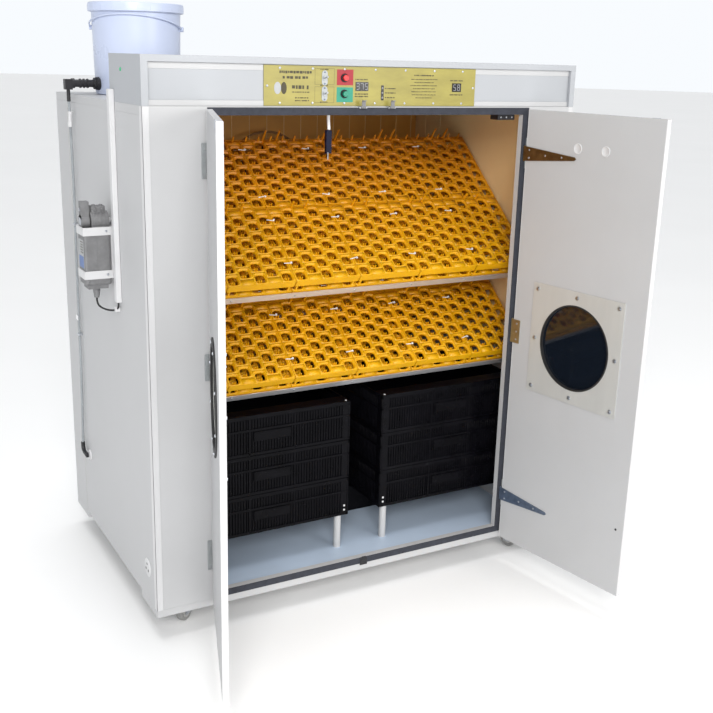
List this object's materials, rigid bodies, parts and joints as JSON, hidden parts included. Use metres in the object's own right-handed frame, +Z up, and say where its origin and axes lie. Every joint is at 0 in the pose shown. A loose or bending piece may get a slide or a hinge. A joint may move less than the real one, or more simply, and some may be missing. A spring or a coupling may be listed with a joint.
{
  "type": "cabinet egg incubator",
  "caption": "Free-standing cabinet incubator with double doors, tilting egg racks over a crate hatcher, control fascia, side tilt motor, roof water pail and castors.",
  "frame": {"origin": "centre of the floor board's underside, midway between the castor boards", "axes": "+Z up, the doors and the controls face -Y, +X to the right of a person facing the doors"},
  "size_m": [1.597, 1.5217, 1.9319],
  "materials": {
    "white_board": "white faced insulated board",
    "slate_seal": "matt sponge",
    "control_plate": "printed satin",
    "tray_plastic": "moulded",
    "black_plastic": "moulded",
    "black_rubber": "smooth",
    "zinc_steel": "zinc plated",
    "aluminium_angle": "mill finish",
    "grey_casting": "cast, painted grey",
    "pail_plastic": "moulded",
    "red_plastic": "moulded",
    "green_plastic": "moulded",
    "dark_glass": "clear pane",
    "white_edging": "moulded",
    "grey_tyre": "grey rubber",
    "clear_hose": "soft clear tube"
  },
  "bodies": {
    "cabinet": {"floor_board": "white_board", "roof_panel": "white_board", "rear_panel": "white_board", "side_panel_left": "white_board", "side_panel_right": "white_board", "front_frame": "white_board", "door_seal": "slate_seal", "fascia_housing": "white_board", "control_panel": "control_plate", "actuator_housing": "grey_casting", "actuator_bracket": "white_edging", "cable_duct": "white_edging", "motor_lead": "black_rubber", "water_pail": "pail_plastic", "pail_outlet": "black_plastic", "water_hose": "clear_hose", "hose_elbow": "black_plastic", "crate_left_bottom": "black_plastic", "crate_right_bottom": "black_plastic", "fan_motor": "zinc_steel", "heater_element": "zinc_steel", "sensor_probe": "black_plastic"},
    "door_left": {"door_left": "white_board", "hinge_left_top": "zinc_steel", "hinge_left_middle": "zinc_steel", "hinge_left_bottom": "zinc_steel", "window_frame_left": "white_edging", "window_glass_left": "dark_glass"},
    "door_right": {"door_right": "white_board", "hinge_right_top": "zinc_steel", "hinge_right_middle": "zinc_steel", "hinge_right_bottom": "zinc_steel", "window_frame_right": "white_edging", "window_glass_right": "dark_glass"},
    "rack_upper": {"rack_frame_upper": "aluminium_angle", "egg_trays_upper": "tray_plastic"},
    "rack_lower": {"rack_frame_lower": "aluminium_angle", "egg_trays_lower": "tray_plastic"},
    "link": {"link_bar": "aluminium_angle"},
    "castor_front_left": {"castor_fork_front_left": "zinc_steel"},
    "wheel_front_left": {"castor_wheel_front_left": "grey_tyre"},
    "castor_front_right": {"castor_fork_front_right": "zinc_steel"},
    "wheel_front_right": {"castor_wheel_front_right": "grey_tyre"},
    "castor_rear_left": {"castor_fork_rear_left": "zinc_steel"},
    "wheel_rear_left": {"castor_wheel_rear_left": "grey_tyre"},
    "castor_rear_right": {"castor_fork_rear_right": "zinc_steel"},
    "wheel_rear_right": {"castor_wheel_rear_right": "grey_tyre"},
    "toggle_upper": {"toggle_switch_upper": "zinc_steel"},
    "toggle_lower": {"toggle_switch_lower": "zinc_steel"},
    "button_red": {"push_button_red": "red_plastic"},
    "button_green": {"push_button_green": "green_plastic"},
    "catch_left": {"catch_left": "zinc_steel"},
    "catch_right": {"catch_right": "zinc_steel"},
    "pail_lid": {"pail_lid": "pail_plastic"},
    "pail_bail": {"pail_bail": "pail_plastic"},
    "crate_left_middle": {"crate_left_middle": "black_plastic"},
    "crate_left_top": {"crate_left_top": "black_plastic"},
    "crate_right_middle": {"crate_right_middle": "black_plastic"},
    "crate_right_top": {"crate_right_top": "black_plastic"},
    "fan": {"fan_rotor": "black_plastic"}
  },
  "joints": [
    {"name": "door_left_swing", "type": "hinge", "parent": "cabinet", "child": "door_left", "pos_m": [-0.552, -0.4925, 0.755], "axis": [0, 0, -1], "range_deg": [-108.6, 6.4]},
    {"name": "door_right_swing", "type": "hinge", "parent": "cabinet", "child": "door_right", "pos_m": [0.552, -0.4925, 0.755], "axis": [0, 0, 1], "range_deg": [-98.8, 16.2]},
    {"name": "rack_upper_tilt", "type": "hinge", "parent": "cabinet", "child": "rack_upper", "pos_m": [0, -0.138, 1.173], "axis": [-1, 0, 0], "range_deg": [0, 81]},
    {"name": "rack_lower_tilt", "type": "hinge", "parent": "cabinet", "child": "rack_lower", "pos_m": [0, -0.138, 0.853], "axis": [-1, 0, 0], "range_deg": [0, 81]},
    {"name": "link_pivot", "type": "hinge", "parent": "rack_upper", "child": "link", "pos_m": [0.7045, 0.0446, 1.26715], "axis": [-1, 0, 0], "range_deg": [-81, 0]},
    {"name": "castor_swivel_front_left", "type": "hinge", "parent": "cabinet", "child": "castor_front_left", "pos_m": [-0.65, -0.405, -0.0243], "axis": [0, 0, 1], "continuous": true},
    {"name": "wheel_spin_front_left", "type": "hinge", "parent": "castor_front_left", "child": "wheel_front_left", "pos_m": [-0.63109, -0.39022, -0.0748], "axis": [-0.6157, 0.788, 0], "continuous": true},
    {"name": "castor_swivel_front_right", "type": "hinge", "parent": "cabinet", "child": "castor_front_right", "pos_m": [0.65, -0.405, -0.0243], "axis": [0, 0, 1], "continuous": true},
    {"name": "wheel_spin_front_right", "type": "hinge", "parent": "castor_front_right", "child": "wheel_front_right", "pos_m": [0.65742, -0.42783, -0.0748], "axis": [0.9511, 0.309, 0], "continuous": true},
    {"name": "castor_swivel_rear_left", "type": "hinge", "parent": "cabinet", "child": "castor_rear_left", "pos_m": [-0.65, 0.405, -0.0243], "axis": [0, 0, 1], "continuous": true},
    {"name": "wheel_spin_rear_left", "type": "hinge", "parent": "castor_rear_left", "child": "wheel_rear_left", "pos_m": [-0.662, 0.42579, -0.0748], "axis": [-0.866, -0.5, 0], "continuous": true},
    {"name": "castor_swivel_rear_right", "type": "hinge", "parent": "cabinet", "child": "castor_rear_right", "pos_m": [0.65, 0.405, -0.0243], "axis": [0, 0, 1], "continuous": true},
    {"name": "wheel_spin_rear_right", "type": "hinge", "parent": "castor_rear_right", "child": "wheel_rear_right", "pos_m": [0.62745, 0.41321, -0.0748], "axis": [-0.342, -0.9397, 0], "continuous": true},
    {"name": "toggle_upper_flip", "type": "hinge", "parent": "cabinet", "child": "toggle_upper", "pos_m": [-0.192, -0.4796, 1.612], "axis": [1, 0, 0], "range_deg": [0, 28]},
    {"name": "toggle_lower_flip", "type": "hinge", "parent": "cabinet", "child": "toggle_lower", "pos_m": [-0.192, -0.4796, 1.567], "axis": [1, 0, 0], "range_deg": [0, 28]},
    {"name": "button_red_press", "type": "slide", "parent": "cabinet", "child": "button_red", "axis": [0, 1, 0], "range_m": [0, 0.003], "stiffness_N_per_m": 300},
    {"name": "button_green_press", "type": "slide", "parent": "cabinet", "child": "button_green", "axis": [0, 1, 0], "range_m": [0, 0.003], "stiffness_N_per_m": 300},
    {"name": "catch_left_fold", "type": "hinge", "parent": "cabinet", "child": "catch_left", "pos_m": [-0.069, -0.4932, 1.5295], "axis": [1, 0, 0], "range_deg": [0, 90]},
    {"name": "catch_right_fold", "type": "hinge", "parent": "cabinet", "child": "catch_right", "pos_m": [0.032, -0.4932, 1.5295], "axis": [1, 0, 0], "range_deg": [0, 90]},
    {"name": "pail_lid_lift", "type": "slide", "parent": "cabinet", "child": "pail_lid", "axis": [0, 0, 1], "range_m": [0, 0.12]},
    {"name": "pail_bail_swing", "type": "hinge", "parent": "cabinet", "child": "pail_bail", "pos_m": [-0.525, 0.26, 1.7463], "axis": [0.8711, -0.4911, 0], "range_deg": [0, 36]},
    {"name": "crate_left_middle_pull", "type": "slide", "parent": "cabinet", "child": "crate_left_middle", "axis": [0, -1, 0], "range_m": [0, 0.07]},
    {"name": "crate_left_top_pull", "type": "slide", "parent": "cabinet", "child": "crate_left_top", "axis": [0, -1, 0], "range_m": [0, 0.07]},
    {"name": "crate_right_middle_pull", "type": "slide", "parent": "cabinet", "child": "crate_right_middle", "axis": [0, -1, 0], "range_m": [0, 0.07]},
    {"name": "crate_right_top_pull", "type": "slide", "parent": "cabinet", "child": "crate_right_top", "axis": [0, -1, 0], "range_m": [0, 0.07]},
    {"name": "fan_spin", "type": "hinge", "parent": "cabinet", "child": "fan", "pos_m": [0, 0.37, 1.23], "axis": [0, 1, 0], "continuous": true}
  ],
  "couplings": [
    {"joint": "rack_lower_tilt", "follows": "rack_upper_tilt", "ratio": 1},
    {"joint": "link_pivot", "follows": "rack_upper_tilt", "ratio": -1}
  ]
}
